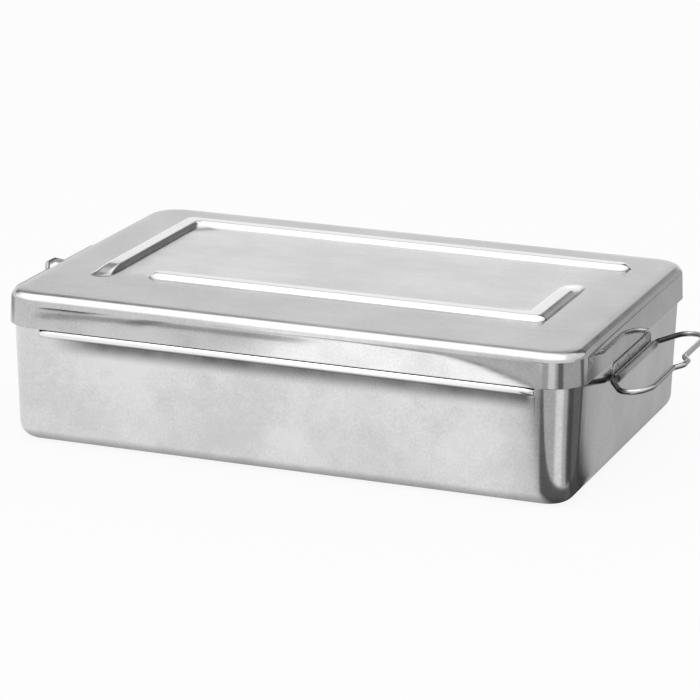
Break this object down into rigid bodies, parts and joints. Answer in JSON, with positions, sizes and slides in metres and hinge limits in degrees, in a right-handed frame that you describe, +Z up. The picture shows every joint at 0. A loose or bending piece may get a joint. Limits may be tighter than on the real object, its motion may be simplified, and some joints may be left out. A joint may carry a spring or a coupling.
{
  "type": "sterilization container",
  "caption": "Rectangular drawn steel instrument box with rounded corners, a ribbed lift-off lid and a swinging wire handle at each end.",
  "frame": {"origin": "centre of the pan's flat underside, on the surface the box stands on", "axes": "+X along the box towards the right handle, +Y across it towards the back, +Z up"},
  "size_m": [0.3519, 0.2042, 0.0806],
  "materials": {
    "pan_steel": "polished stainless steel",
    "lid_steel": "polished stainless steel",
    "bracket_steel": "polished stainless steel strip",
    "handle_wire": "bright drawn stainless steel wire"
  },
  "bodies": {
    "pan": {"base_pan": "pan_steel", "right_hinge_bracket": "bracket_steel", "left_hinge_bracket": "bracket_steel"},
    "lid": {"lid": "lid_steel"},
    "right_handle": {"right_handle": "handle_wire"},
    "left_handle": {"left_handle": "handle_wire"}
  },
  "joints": [
    {"name": "lid_lift", "type": "slide", "parent": "pan", "child": "lid", "axis": [0, 0, 1], "range_m": [0, 0.12]},
    {"name": "right_handle_swing", "type": "hinge", "parent": "pan", "child": "right_handle", "pos_m": [0.15192, 0, 0.0496], "axis": [0, -1, 0], "range_deg": [-95, 73]},
    {"name": "left_handle_swing", "type": "hinge", "parent": "pan", "child": "left_handle", "pos_m": [-0.15192, 0, 0.0496], "axis": [0, 1, 0], "range_deg": [-133, 35]}
  ]
}
